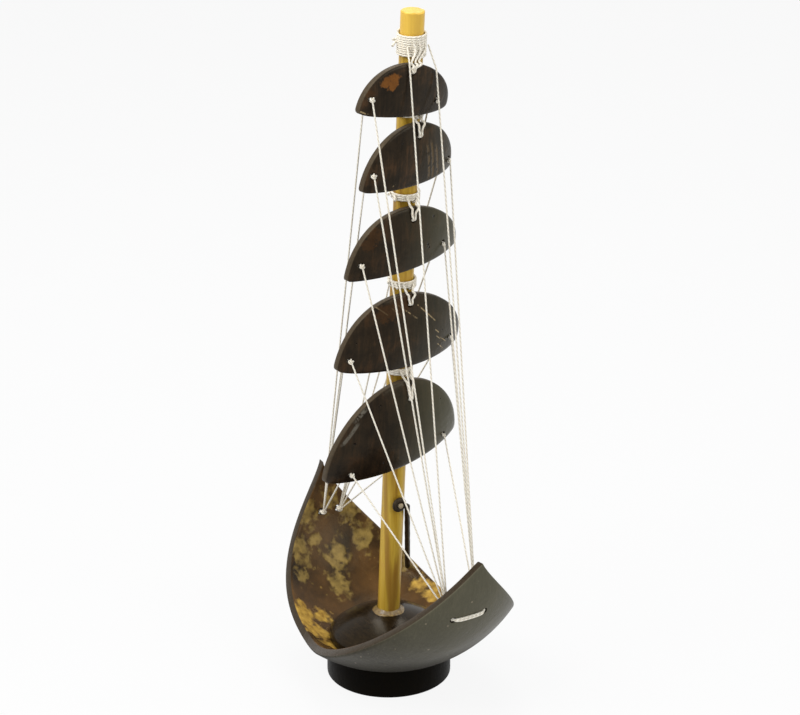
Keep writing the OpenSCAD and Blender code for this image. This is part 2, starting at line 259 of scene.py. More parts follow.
def piece(name, verts, faces, material, body, stands_for=(), uvs=None, crease=40):
    """Makes a mesh object from millimetres, smooth-shaded except where faces meet sharply."""
    mesh = bpy.data.meshes.new(name)
    mesh.from_pydata([tuple(Vector(v) * MM) for v in verts], [], faces)
    if uvs:
        layer = mesh.uv_layers.new(name="UVMap")
        for loop in mesh.loops:
            layer.data[loop.index].uv = uvs[loop.vertex_index]
    mesh.update()
    obj = added(name, mesh)
    mesh.materials.append(material)
    mesh.shade_smooth()
    if crease:
        mesh.set_sharp_from_angle(angle=radians(crease))
    if body:
        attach(obj, body)
    if stands_for:
        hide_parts(*stands_for)
    return obj


def grid_faces(rows, cols, ring=False):
    """Faces of a tube of rows by cols vertices, whose last row meets its first if ring."""
    faces = []
    for r in range(rows if ring else rows - 1):
        low, high = r * cols, (r + 1) % rows * cols
        for c in range(cols):
            d = (c + 1) % cols
            faces.append((low + c, low + d, high + d, high + c))
    return faces


def capped(rings, first, last):
    """A closed mesh of rings of points, with a point in the middle of each end."""
    cols = len(rings[0])
    verts = [p for ring in rings for p in ring]
    n, end = len(verts), len(verts) - cols
    faces = grid_faces(len(rings), cols)
    faces += [(n, (c + 1) % cols, c) for c in range(cols)]
    faces += [(n + 1, end + c, end + (c + 1) % cols) for c in range(cols)]
    return verts + [first, last], faces


def joined(parts):
    """One (verts, faces, uvs) out of several."""
    verts, faces, uvs = [], [], []
    for v, f, u in parts:
        faces += [tuple(k + len(verts) for k in loop) for loop in f]
        verts += v
        uvs += u
    return verts, faces, uvs


def smooth_path(points, step):
    """Catmull-Rom curve through the points, with a point about every step."""
    pts = [Vector(p) for p in points]
    ends = [2 * pts[0] - pts[1]] + pts + [2 * pts[-1] - pts[-2]]
    out = []
    for a, b, c, d in zip(ends, ends[1:], ends[2:], ends[3:]):
        n = max(1, ceil((c - b).length / step))
        for k in range(n):
            t = k / n
            bend = (2 * a - 5 * b + 4 * c - d) * t * t + (3 * b - a - 3 * c + d) * t**3
            out.append(b + ((c - a) * t + bend) / 2)
    return out + [pts[-1]]


def straight_path(points, step):
    """The points, with more in between about every step."""
    out = []
    for a, b in zip(points, points[1:]):
        n = max(1, ceil((b - a).length / step))
        out += [a.lerp(b, k / n) for k in range(n)]
    return out + [Vector(points[-1])]


def end_caps(rows, cols):
    """The two end faces of a tube of rows by cols vertices."""
    return [tuple(reversed(range(cols))), tuple((rows - 1) * cols + c for c in range(cols))]


def tube(path, radius, sides=8):
    """A closed tube along a path. radius is a number or a function of the share of the way."""
    n = len(path)
    verts, uvs = [], []
    tangents = [
        (path[min(k + 1, n - 1)] - path[max(k - 1, 0)]).normalized() for k in range(n)
    ]
    normal = tangents[0].orthogonal().normalized()
    along = 0.0
    for k, (p, t) in enumerate(zip(path, tangents)):
        if k:
            along += (p - path[k - 1]).length
            normal = tangents[k - 1].rotation_difference(t) @ normal
        side = t.cross(normal)
        r = radius(k / (n - 1)) if callable(radius) else radius
        for c in range(sides):
            a = 2 * pi * c / sides
            verts.append(p + r * (cos(a) * normal + sin(a) * side))
            uvs.append((along, c / sides))
    return verts, grid_faces(n, sides) + end_caps(n, sides), uvs


def lathe(profile, sides, place=None, wobble=None):
    """Turns a closed profile of (radius, height) about Z; wobble(angle, r, z) adds to the radius."""
    verts = []
    for r, z in profile:
        for c in range(sides):
            a = 2 * pi * c / sides
            q = r + (wobble(a, r, z) if wobble else 0)
            p = Vector((q * cos(a), q * sin(a), z))
            verts.append(place(p) if place else p)
    return verts, grid_faces(len(profile), sides, ring=True)


def rounded(corners, radius, steps):
    """A closed outline with its corners rounded."""
    out = []
    n = len(corners)
    for k in range(n):
        p = Vector(corners[k])
        a = Vector(corners[k - 1]) - p
        b = Vector(corners[(k + 1) % n]) - p
        cut = min(radius, a.length / 2, b.length / 2)
        a, b = p + a.normalized() * cut, p + b.normalized() * cut
        for j in range(steps + 1):
            t = j / steps
            out.append(a * (1 - t) ** 2 + p * 2 * t * (1 - t) + b * t * t)
    return out


def knot(centre, size, thread_r, axis, turn):
    """An overhand knot pulled tight: a trefoil of thread round axis."""
    axis = axis.normalized()
    u = axis.orthogonal().normalized()
    v = axis.cross(u)
    reach = size - thread_r
    path = []
    steps = 48
    for k in range(steps + 1):
        t = 2 * pi * k / steps
        rad = reach * (0.62 + 0.38 * cos(3 * t))
        a = 2 * t + turn
        path.append(centre + u * rad * cos(a) + v * rad * sin(a) + axis * reach * 0.75 * sin(3 * t))
    return tube(path, thread_r)


def ball(centre, radius, seed):
    """A slightly lumpy ball, as the heart of a knot."""
    rows, cols = 10, 14
    verts = []
    for r in range(rows):
        el = pi * (r + 0.5) / rows - pi / 2
        for c in range(cols):
            az = 2 * pi * c / cols
            d = Vector((cos(el) * cos(az), cos(el) * sin(az), sin(el)))
            lump = 1 + 0.12 * noise.noise(d * 2.1 + Vector((seed, seed, seed)))
            verts.append(centre + d * radius * lump)
    faces = grid_faces(rows, cols) + end_caps(rows, cols)
    return verts, faces, [(v.x, v.y / radius) for v in verts]


def carve(obj, cutters):
    """Cuts closed meshes out of obj."""
    verts, faces, _ = joined(cutters)
    mesh = bpy.data.meshes.new("cutter")
    mesh.from_pydata([tuple(Vector(v) * MM) for v in verts], [], faces)
    tool = added("cutter", mesh)
    cut = obj.modifiers.new("cut", "BOOLEAN")
    cut.operation = "DIFFERENCE"
    cut.solver = "EXACT"
    cut.object = tool
    evaluated = obj.evaluated_get(bpy.context.evaluated_depsgraph_get())
    done = bpy.data.meshes.new_from_object(evaluated)
    obj.modifiers.clear()
    obj.data = done
    done.shade_smooth()
    done.set_sharp_from_angle(angle=radians(40))
    bpy.data.objects.remove(tool)


# ------ node materials
class Surface:
    """A node material with a Principled shader, and short calls to wire it."""

    def __init__(self, name):
        self.material = bpy.data.materials.new(name)
        self.material.use_nodes = True
        self.tree = self.material.node_tree
        self.shader = self.tree.nodes["Principled BSDF"]
        self.at = self.node("ShaderNodeTexCoord").outputs["Object"]

    def node(self, kind, inputs=None, **settings):
        made = self.tree.nodes.new(kind)
        for key, value in settings.items():
            setattr(made, key, value)
        for key, value in (inputs or {}).items():
            self.put(made.inputs[key], value)
        return made

    def put(self, socket, value):
        if isinstance(value, bpy.types.NodeSocket):
            self.tree.links.new(value, socket)
        elif value is not None:
            socket.default_value = value

    def set(self, **values):
        names = {"color": "Base Color", "roughness": "Roughness", "normal": "Normal"}
        for key, value in values.items():
            name = names.get(key, key.replace("_", " ").title().replace("Ior", "IOR"))
            self.put(self.shader.inputs[name], value)

    def math(self, operation, a, b=None):
        made = self.node("ShaderNodeMath", operation=operation)
        self.put(made.inputs[0], a)
        if b is not None:
            self.put(made.inputs[1], b)
        return made.outputs[0]

    def plus(self, a, b, share):
        """a and a share of b."""
        return self.math("ADD", a, self.math("MULTIPLY", b, share))

    def weigh(self, a, b, share):
        """A number between a and b, share of the way."""
        return self.plus(self.math("MULTIPLY", a, 1 - share), b, share)

    def vector(self, operation, a, b=None, out="Vector"):
        made = self.node("ShaderNodeVectorMath", operation=operation)
        self.put(made.inputs[0], a)
        if b is not None:
            self.put(made.inputs[1], b)
        return made.outputs[out]

    def moved(self, turn=(0, 0, 0), scale=(1, 1, 1), source=None):
        """Object coordinates in millimetres, turned and scaled."""
        return self.node(
            "ShaderNodeMapping",
            {
                "Vector": source or self.at,
                "Rotation": tuple(radians(a) for a in turn),
                "Scale": tuple(s / MM for s in scale),
            },
        ).outputs[0]

    def noise(self, size, detail=3, rough=0.5, distort=0.0, where=None):
        """Noise from 0 to 1 whose lumps are about size millimetres."""
        return self.node(
            "ShaderNodeTexNoise",
            {
                "Vector": where or self.moved(),
                "Scale": 1 / size,
                "Detail": detail,
                "Roughness": rough,
                "Distortion": distort,
            },
        ).outputs["Fac"]

    def cells(self, size):
        inputs = {"Vector": self.moved(), "Scale": 1 / size}
        return self.node("ShaderNodeTexVoronoi", inputs).outputs["Distance"]

    def band(self, value, low, high):
        """0 below low, 1 above high, smooth between; low may be above high."""
        made = self.node("ShaderNodeMapRange", {"Value": value}, interpolation_type="SMOOTHSTEP")
        flip = low > high
        self.put(made.inputs["From Min"], min(low, high))
        self.put(made.inputs["From Max"], max(low, high))
        self.put(made.inputs["To Min"], 1.0 if flip else 0.0)
        self.put(made.inputs["To Max"], 0.0 if flip else 1.0)
        return made.outputs[0]

    def spread(self, value, low, high):
        """A value from 0 to 1, stretched from low to high."""
        inputs = {"Value": value, "To Min": low, "To Max": high}
        return self.node("ShaderNodeMapRange", inputs).outputs[0]

    def parts(self, vector):
        return self.node("ShaderNodeSeparateXYZ", {"Vector": vector}).outputs

    def spun(self, vector, axis, angle):
        inputs = {"Vector": vector, "Angle": angle}
        return self.node("ShaderNodeVectorRotate", inputs, rotation_type=f"{axis}_AXIS").outputs[0]

    def mix(self, share, a, b):
        """a where share is 0, b where it is 1, for colours."""
        made = self.node("ShaderNodeMix", data_type="RGBA")
        self.put(made.inputs["Factor"], share)
        colours = [s for s in made.inputs if s.type == "RGBA"]
        for socket, value in zip(colours, (a, b)):
            self.put(socket, (*value, 1) if isinstance(value, tuple) else value)
        return next(s for s in made.outputs if s.type == "RGBA")

    def ramp(self, value, *stops):
        made = self.node("ShaderNodeValToRGB", {"Fac": value})
        elements = made.color_ramp.elements
        while len(elements) < len(stops):
            elements.new(0.5)
        for element, (place, colour) in zip(elements, stops):
            element.position = place
            element.color = (*colour, 1)
        return made.outputs[0]

    def near(self, spots, soft, source=None, stretch=(1, 1, 1)):
        """1 inside any of the spots, given as (centre, radius); 0 outside, soft wide between."""
        where = self.moved(scale=stretch, source=source)
        total = None
        for centre, radius in spots:
            aim = tuple(c * s for c, s in zip(centre, stretch))
            gap = self.vector("DISTANCE", where, aim, out="Value")
            inside = self.band(gap, radius + soft, radius - soft)
            total = inside if total is None else self.math("MAXIMUM", total, inside)
        return total

    def blotches(self, spots, soft, size, stretch=(1, 1, 1)):
        """Like near, with ragged soft edges and gaps about size wide."""
        ragged = self.math("SUBTRACT", self.noise(size, 3, 0.45), 0.5)
        total = self.plus(self.near(spots, soft, stretch=stretch), ragged, 2.2)
        return self.band(total, 0.30, 0.90)

    def bump(self, *layers):
        """Bumps of (height, depth in millimetres), one on another."""
        normal = None
        for height, depth in layers:
            made = self.node("ShaderNodeBump", {"Height": height, "Distance": depth * MM})
            self.put(made.inputs["Normal"], normal)
            normal = made.outputs[0]
        self.set(normal=normal)


def lines(s, ends, width, where):
    """1 on thin lines between pairs of points in the YZ plane of where."""
    total = None
    for (y0, z0), (y1, z1) in ends:
        length = hypot(y1 - y0, z1 - z0)
        turn = atan2(z1 - z0, y1 - y0)
        local = s.vector("SUBTRACT", where, (0, (y0 + y1) / 2, (z0 + z1) / 2))
        parts = s.parts(s.spun(local, "X", -turn))
        across = s.band(s.math("ABSOLUTE", parts["Z"]), width, width * 0.4)
        along = s.band(s.math("ABSOLUTE", parts["Y"]), length / 2, length / 2 - width * 3)
        one = s.math("MULTIPLY", across, along)
        total = one if total is None else s.math("MAXIMUM", total, one)
    return total


BLACK_SHELL = (0.008, 0.0055, 0.004)
DARK_SHELL = (0.019, 0.012, 0.007)
WARM_SHELL = (0.055, 0.027, 0.012)
WARM_GLOSS = (1, 0.86, 0.62, 1)


def hull_material():
    s = Surface("coconut_hull")
    where = s.moved()
    out = s.vector("DISTANCE", where, tuple(HULL_C), out="Value")
    outside = s.band(out, HULL_R - 0.55, HULL_R - 0.25)
    inside = s.band(out, HULL_IN_R + 0.55, HULL_IN_R + 0.2)
    grain = s.noise(0.35, 5, 0.7)
    cloud = s.noise(17, 4, 0.55)

    # inside: glossy brown, with olive and ochre patches that the polish left
    brown = s.ramp(cloud, (0.36, (0.012, 0.006, 0.002)), (0.64, (0.085, 0.041, 0.012)))
    olive = s.ramp(s.noise(3, 3), (0.35, (0.15, 0.10, 0.026)), (0.65, (0.28, 0.19, 0.05)))
    pale = s.blotches(
        [((-54, -5, 50), 4), ((-47, -14, 38), 5), ((-45, 3, 32), 5), ((-37, -1, 24), 5),
         ((-46, 17, 37), 4.5), ((-31, 29, 29), 4.5), ((-55, 6, 53), 3), ((-52, 14, 48), 3.5),
         ((-50, -5, 40), 3), ((-38, 24, 31), 3), ((-41, -18, 28), 3)],
        5, 3.2, (1, 1, 0.6),
    )
    inner = s.mix(s.math("MULTIPLY", pale, 0.85), brown, olive)
    ochre = s.ramp(s.noise(2.2, 4), (0.3, (0.22, 0.12, 0.018)), (0.7, (0.48, 0.30, 0.055)))
    raw = s.blotches(
        [((-24, -28, 23), 7), ((-15, -26, 18), 6), ((-5, -24, 15), 5), ((-25, -17, 18), 4),
         ((-14, 31, 21), 5), ((-20, 29, 22), 4), ((-6, 32, 20), 4)],
        4, 3.5,
    )
    inner = s.mix(raw, inner, ochre)

    # outside: smoked olive-grey, with painted shade that darkens it low down by the ring, a painted
    # sheen that lightens it at the stern, and pale specks
    fibre = s.noise(0.8, 4, 0.6, 0.3, s.moved(scale=(1, 1, 0.16)))
    outer = s.ramp(
        s.weigh(fibre, cloud, 0.5),
        (0.36, (0.015, 0.013, 0.008)),
        (0.52, (0.031, 0.028, 0.018)),
        (0.68, (0.058, 0.051, 0.033)),
    )
    specks = s.blotches(
        [((56, -4, 43), 0.5), ((56, -9, 46), 0.4), ((49, -13, 34), 0.5), ((43, -22, 30), 0.4)],
        0.5, 0.8,
    )
    specks = s.math("MAXIMUM", specks, s.band(s.cells(8.5), 0.06, 0.035))
    parts = s.parts(where)
    # painted shade: the outside is darkened towards the bottom, by the ring
    painted_low_shade = s.math("MULTIPLY", s.band(parts["Z"], 32, 13), 0.95)
    outer = s.mix(painted_low_shade, outer, (0.003, 0.0025, 0.0015))
    # painted sheen: the outside is lightened to grey towards the stern
    painted_stern_sheen = s.math("MULTIPLY", s.band(parts["X"], 34, 58), 0.45)
    outer = s.mix(painted_stern_sheen, outer, (0.13, 0.125, 0.085))
    outer = s.mix(s.math("MULTIPLY", specks, 0.7), outer, (0.24, 0.20, 0.14))

    edge = s.mix(s.noise(0.9, 4, 0.7), (0.015, 0.010, 0.006), (0.055, 0.040, 0.025))
    colour = s.mix(outside, edge, outer)
    colour = s.mix(inside, colour, inner)
    roughness = s.plus(s.spread(grain, 0.20, 0.32), outside, 0.10)
    roughness = s.plus(roughness, raw, 0.2)
    roughness = s.plus(roughness, s.math("MULTIPLY", painted_low_shade, outside), 0.5)
    s.set(color=colour, roughness=roughness, specular_ior_level=0.18, specular_tint=WARM_GLOSS)
    s.bump((cloud, 0.5), (fibre, 0.07), (grain, 0.03), (s.math("MAXIMUM", pale, raw), -0.08))
    return s.material


# from the masthead down: how warm the shell is, and how strongly a painted olive-grey sheen lightens
# one end of it
SAIL_WARMTH = [1.5, 1.4, 0.9, 1.0, 0.8]
SAIL_OLIVE_SHEEN = [0.1, 0.3, 0.8, 0.35, 0.9]
ORANGE, STRAW = (0.26, 0.095, 0.018), (0.34, 0.25, 0.13)
# the grey is a painted highlight, used on the lowest sail's edge
BROWN, TAN, HIGHLIGHT_GREY = (0.060, 0.027, 0.010), (0.10, 0.065, 0.030), (0.11, 0.10, 0.08)
# each mark: its kind, its places across and above the sail's widest line, its width, its colour
SAIL_MARKS = [
    [
        ("spot", [(-18, 12), (-16, 11), (-15, 13)], 2.2, ORANGE),
        ("spot", [(-24, 9)], 1.8, BROWN),
        ("line", [((-28, 2.3), (-24, 0.4))], 0.4, STRAW),
    ],
    [
        ("line", [((1, 15), (4, -2)), ((3.2, 15.4), (6.3, -2.3)), ((6, 13), (9.5, -2))], 0.9, TAN),
        ("line", [((-14.5, -0.6), (-12.8, 0.8))], 0.35, STRAW),
    ],
    [("spot", [(-22, 13), (-20, 17)], 3.0, BROWN)],
    [
        ("line", [((-17.5, 25), (-12, 20.4)), ((-9.9, 25.5), (0.8, 16.8))], 0.34, STRAW),
        ("line", [((0.6, 22.7), (10.3, 13.4)), ((-11, 23.5), (-7, 20))], 0.34, STRAW),
        ("line", [((10, 10.1), (13.3, 7.3)), ((12.2, 3.3), (17.1, -0.9))], 0.3, STRAW),
        ("line", [((13.6, 5.5), (18.3, 1.9)), ((11, 7), (14, 4.6))], 0.25, STRAW),
        ("spot", [(-10, 22), (-6, 24), (-14, 21)], 3.5, BROWN),
    ],
    # the lowest sail's grey lines are a painted highlight along its upper left edge
    [("line", [((-29, 11), (-22.5, 22)), ((-25, 21), (-19, 27.5))], 0.9, HIGHLIGHT_GREY)],
]
SAIL_PITS = [[], [], [(7.4, 18.7), (5.1, 6.8), (4.4, 8.2), (9, 24)], [], [(-24, 12.5), (2, 26)]]


def sail_material(i):
    """Polished shell, with the raw cut edge lighter, and each sail's own marks."""
    s = Surface(f"shell_sail_{i + 1}")
    where = s.moved()
    centre = sail_point(i, sail_crown(i) - SAIL_CURVE_R, 0, sail_mid(i))
    out = s.vector("DISTANCE", where, tuple(centre), out="Value")
    on_face = s.math(
        "MAXIMUM",
        s.band(out, SAIL_CURVE_R - 0.5, SAIL_CURVE_R - 0.2),
        s.band(out, SAIL_CURVE_R - SAIL_T + 0.5, SAIL_CURVE_R - SAIL_T + 0.2),
    )
    # the sail's own frame: Y across and Z up from the mast's foot
    local = s.vector("SUBTRACT", where, (0, 0, STEP_Z))
    local = s.spun(local, "Y", -MAST_RAKE)
    local = s.spun(local, "Z", -radians(SAIL_YAW[i]))

    grain = s.noise(0.3, 5, 0.7)
    cloud = s.noise(9, 4, 0.6, 0.4)
    streak = s.noise(1.5, 3, 0.6, 0.2, s.moved(scale=(0.5, 1, 0.10)))
    body = s.ramp(
        s.weigh(cloud, streak, 0.4),
        (0.38, BLACK_SHELL),
        (0.52, DARK_SHELL),
        (0.72, tuple(c * SAIL_WARMTH[i] for c in WARM_SHELL)),
    )
    # painted sheen: the face turns olive-grey towards one end
    olive = s.math("MULTIPLY", s.band(s.parts(local)["Y"], -14, 20), SAIL_OLIVE_SHEEN[i])
    body = s.mix(olive, body, (0.060, 0.057, 0.034))
    flat = s.vector("MULTIPLY", local, (0, MM, MM))
    broken = s.noise(1.8, 3, 0.6)
    marks = None
    for kind, places, width, colour in SAIL_MARKS[i]:
        if kind == "line":
            ends = [[(y, sail_z(i) + z) for y, z in line] for line in places]
            one = s.math("MULTIPLY", lines(s, ends, width, local), s.band(broken, 0.36, 0.5))
        else:
            spots = [((0, y, sail_z(i) + z), width) for y, z in places]
            near = s.near(spots, width * 0.8, source=flat)
            one = s.band(s.plus(near, s.math("SUBTRACT", broken, 0.5), 2.0), 0.35, 0.8)
            colour = s.mix(s.noise(1.6, 4, 0.6), tuple(c * 0.3 for c in colour), colour)
        body = s.mix(s.math("MULTIPLY", one, 0.85), body, colour)
        marks = one if marks is None else s.math("MAXIMUM", marks, one)
    pits = s.band(s.cells(7.5), 0.06, 0.03)
    if SAIL_PITS[i]:
        spots = [((0, y, sail_z(i) + z), 0.5) for y, z in SAIL_PITS[i]]
        pits = s.math("MAXIMUM", pits, s.near(spots, 0.25, source=flat))
    body = s.mix(pits, body, (0.003, 0.002, 0.002))
    edge = s.mix(s.noise(0.8, 4, 0.7), (0.020, 0.014, 0.009), (0.095, 0.070, 0.043))
    colour = s.mix(on_face, edge, body)
    raw = s.math("SUBTRACT", 1.0, on_face)
    roughness = s.plus(s.spread(cloud, 0.14, 0.30), raw, 0.25)
    s.set(color=colour, roughness=roughness, specular_ior_level=0.15, specular_tint=WARM_GLOSS)
    s.bump((cloud, 0.35), (streak, 0.06), (grain, 0.015), (pits, -0.25), (marks, -0.06))
    return s.material


def dark_wood(name, dark, light, rough, fibre=(1, 1, 0.15), depth=0.06, mirror=0.25):
    """Stained shell or stick: two browns, stretched grain, small scratches."""
    s = Surface(name)
    grain = s.noise(0.9, 5, 0.65, 0.3, s.moved(scale=fibre))
    cloud = s.noise(8, 4, 0.6)
    colour = s.ramp(s.weigh(grain, cloud, 0.4), (0.38, dark), (0.66, light))
    s.set(
        color=colour,
        roughness=s.spread(grain, rough - 0.08, rough + 0.1),
        specular_ior_level=mirror,
        specular_tint=WARM_GLOSS,
    )
    s.bump((cloud, depth * 4), (grain, depth), (s.noise(0.25, 3), depth * 0.4))
    return s.material


def bamboo_material():
    s = Surface("bamboo")
    rake = (0, -degrees(MAST_RAKE), 0)
    wide = s.noise(2.0, 3, 0.5, 0.1, s.moved(turn=rake, scale=(1, 1, 0.02)))
    fine = s.noise(0.30, 4, 0.6, 0.1, s.moved(turn=rake, scale=(1, 1, 0.03)))
    colour = s.ramp(
        wide,
        (0.30, (0.27, 0.145, 0.014)),
        (0.46, (0.43, 0.26, 0.026)),
        (0.64, (0.54, 0.36, 0.050)),
    )
    stripe = s.noise(3.2, 2, 0.4, 0.0, s.moved(turn=rake, scale=(1, 1, 0.008)))
    stripe = s.math("MULTIPLY", s.band(stripe, 0.56, 0.70), 0.6)
    colour = s.mix(stripe, colour, (0.20, 0.080, 0.018))
    threads = s.band(fine, 0.58, 0.74)
    colour = s.mix(s.math("MULTIPLY", threads, 0.3), colour, (0.30, 0.14, 0.035))
    stain = s.band(s.noise(14, 3, 0.5), 0.56, 0.72)
    colour = s.mix(s.math("MULTIPLY", stain, 0.4), colour, (0.40, 0.185, 0.045))
    # painted light: the mast is lighter above the masthead lashing, where the sails don't shade it
    painted_lit_top = s.math("MULTIPLY", s.band(s.parts(s.moved())["Z"], 262, 270), 0.7)
    colour = s.mix(painted_lit_top, colour, (0.74, 0.47, 0.075))
    s.set(
        color=colour,
        roughness=s.spread(fine, 0.28, 0.46),
        specular_ior_level=0.3,
        specular_tint=WARM_GLOSS,
    )
    s.bump((wide, 0.12), (fine, 0.05))
    return s.material


def thread_material():
    """Two-ply cotton: the twist and fuzz come from each tube's own length and girth."""
    s = Surface("cotton_thread")
    parts = s.parts(s.node("ShaderNodeTexCoord").outputs["UV"])
    turns = s.math("ADD", s.math("MULTIPLY", parts["X"], 0.55), s.math("MULTIPLY", parts["Y"], 2.0))
    ply = s.math("SINE", s.math("MULTIPLY", turns, 2 * pi))
    ply = s.node("ShaderNodeMapRange", {"Value": ply, "From Min": -1.0, "From Max": 1.0}).outputs[0]
    fuzz = s.noise(0.25, 4, 0.7)
    # painted shade: the grooves between the plies are darker
    colour = s.ramp(
        s.weigh(ply, fuzz, 0.4),
        (0.15, (0.55, 0.50, 0.40)),
        (0.5, (0.74, 0.69, 0.58)),
        (0.9, (0.84, 0.80, 0.70)),
    )
    age = s.band(s.noise(11, 3), 0.5, 0.75)
    colour = s.mix(s.math("MULTIPLY", age, 0.25), colour, (0.70, 0.58, 0.40))
    s.set(color=colour, roughness=0.8)
    s.put(s.shader.inputs["Sheen Weight"], 0.25)
    s.put(s.shader.inputs["Subsurface Weight"], 0.05)
    s.put(s.shader.inputs["Subsurface Radius"], (0.001, 0.0008, 0.0006))
    s.bump((ply, 0.08), (fuzz, 0.04))
    return s.material


def glue_material():
    s = Surface("dried_glue")
    cloud = s.noise(1.2, 4, 0.6)
    s.set(
        color=s.ramp(cloud, (0.3, (0.11, 0.060, 0.016)), (0.7, (0.33, 0.22, 0.070))),
        roughness=s.spread(cloud, 0.12, 0.35),
    )
    s.put(s.shader.inputs["Transmission Weight"], 0.25)
    s.bump((cloud, 0.25))
    return s.material


def floor_material():
    """White card: shaded by the lamps, and lifted to white where it is seen or mirrored."""
    s = Surface("floor_card")
    s.set(color=s.mix(s.noise(60, 2), (0.50, 0.50, 0.50), (0.54, 0.54, 0.54)), roughness=0.9)
    s.put(s.shader.inputs["Specular IOR Level"], 0.1)
    white = s.node("ShaderNodeEmission", {"Color": (1, 1, 1, 1), "Strength": 1.0})
    path = s.node("ShaderNodeLightPath").outputs
    seen = s.math("MAXIMUM", path["Is Camera Ray"], path["Is Glossy Ray"])
    seen = s.math("MAXIMUM", seen, path["Is Transmission Ray"])
    both = s.node("ShaderNodeMixShader", {0: s.math("MULTIPLY", seen, 0.9)})
    s.tree.links.new(s.shader.outputs[0], both.inputs[1])
    s.tree.links.new(white.outputs[0], both.inputs[2])
    s.tree.links.new(both.outputs[0], s.tree.nodes["Material Output"].inputs[0])
    return s.material


HULL_SHELL = hull_material()
RING_SHELL = dark_wood(
    "black_ring", (0.002, 0.002, 0.002), (0.004, 0.003, 0.002), 0.4, (1, 1, 0.4), mirror=0.03
)
STEP_SHELL = dark_wood(
    "glossy_step", (0.005, 0.003, 0.0015), (0.020, 0.012, 0.005), 0.2, (0.3, 1, 1), 0.012, 0.14
)
STICK = dark_wood("dark_stick", (0.014, 0.010, 0.007), (0.050, 0.034, 0.020), 0.5)
PALE_PIN = dark_wood("pale_pin", (0.26, 0.20, 0.12), (0.50, 0.42, 0.29), 0.5, (0.2, 1, 1))
BAMBOO = bamboo_material()
THREAD = thread_material()
GLUE = glue_material()


# ------ hull, ring, step and mast
def on_sphere(az, up, r):
    return HULL_C + r * Vector((sin(up) * cos(az), sin(up) * sin(az), -cos(up)))


def hull_columns(columns=72):
    """Directions round the hull, columns in each quarter, closer together near the tips."""
    out = []
    ends = (TIP_AZ, STARBOARD_GUNWALE[0], 180 - TIP_AZ, PORT_GUNWALE[0], 360 + TIP_AZ)
    for a, b in zip(ends, ends[1:]):
        from_tip = (a, b) in ((ends[0], ends[1]), (ends[2], ends[3]))
        for k in range(columns):
            t = k / columns
            share = t**1.5 if from_tip else 1 - (1 - t) ** 1.5
            out.append(radians(a + (b - a) * share))
    return out


def hull():
    """The bowl: outside, eased edge and inside, with four thread holes bored through it."""
    rows, round_edge, chamfer = 44, 0.55, 0.16
    rings = [[] for _ in range(2 * rows + 5)]
    for az in hull_columns():
        rim = pi / 2 + radians(gunwale_el(az))
        out_stop = rim - round_edge / HULL_R
        in_stop = rim - round_edge / HULL_IN_R
        outer = [on_sphere(az, out_stop * (k + 1) / rows, HULL_R) for k in range(rows)]
        edge = [
            on_sphere(az, rim - chamfer / HULL_R, HULL_R - chamfer),
            on_sphere(az, rim, HULL_R - round_edge),
            on_sphere(az, rim, (HULL_R + HULL_IN_R) / 2),
            on_sphere(az, rim, HULL_IN_R + round_edge),
            on_sphere(az, rim - chamfer / HULL_IN_R, HULL_IN_R + chamfer),
        ]
        inner = [on_sphere(az, in_stop * (rows - k) / rows, HULL_IN_R) for k in range(rows)]
        for ring, p in zip(rings, outer + edge + inner):
            ring.append(p)
    verts, faces = capped(rings, on_sphere(0, 0, HULL_R), on_sphere(0, 0, HULL_IN_R))
    obj = piece("hull_shell", verts, faces, HULL_SHELL, "boat", ["hull"])
    bores = []
    for az, half in ((0, STERN_HALF), (BOW_AZ, BOW_HALF)):
        for turn in (-half, half):
            path = [at_end(az, turn, r) for r in (HULL_IN_R - 2, HULL_R + 2)]
            bores.append(tube(path, HULL_HOLE_R, 24))
    carve(obj, bores)


def foot_ring():
    """A ring whose sloping top fits the hull."""
    inner = FOOT_R - FOOT_WALL
    contact = HULL_R + PLAY
    outer_top = HULL_C.z - sqrt(contact**2 - FOOT_R**2)
    inner_top = HULL_C.z - sqrt(contact**2 - inner**2)
    outline = rounded([(inner, 0), (FOOT_R, 0), (FOOT_R, outer_top), (inner, inner_top)], 0.8, 4)

    def wobble(a, r, z):
        return -PLAY * (1 + sin(3 * a + 0.7)) * (r > inner + 1)

    verts, faces = lathe([tuple(p) for p in outline], 128, wobble=wobble)
    piece("foot_ring_shell", verts, faces, RING_SHELL, "boat", ["foot_ring"])


def mast_step():
    """The dome and its cut rim, resting on the hull's floor."""
    inner_r = STEP_CURVE_R - STEP_T
    floor_r = HULL_IN_R - PLAY
    foot_r = STEP_R - 2.5
    rim_top = STEP_C.z + sqrt(STEP_CURVE_R**2 - STEP_R**2)
    rim_low = HULL_C.z - sqrt(floor_r**2 - STEP_R**2)
    steps = 26
    dome = []
    for k in range(steps):
        r = 0.05 + (STEP_R - 0.9) * k / (steps - 1)
        dome.append((r, STEP_C.z + sqrt(STEP_CURVE_R**2 - r * r)))
    under = [(r, STEP_C.z + sqrt(inner_r**2 - r * r)) for r in (20.0, 12.0, 4.0, 0.05)]
    under_low = HULL_C.z - sqrt(floor_r**2 - foot_r**2)
    rim = [
        (STEP_R - 0.25, rim_top + 0.02),
        (STEP_R, rim_top - 0.6),
        (STEP_R, rim_low + 0.3),
        (STEP_R - 0.3, rim_low),
        (foot_r, under_low),
    ]
    verts, faces = lathe(dome + rim + under, 128)
    piece("mast_step_dome", verts, faces, STEP_SHELL, "boat", ["mast_step"])


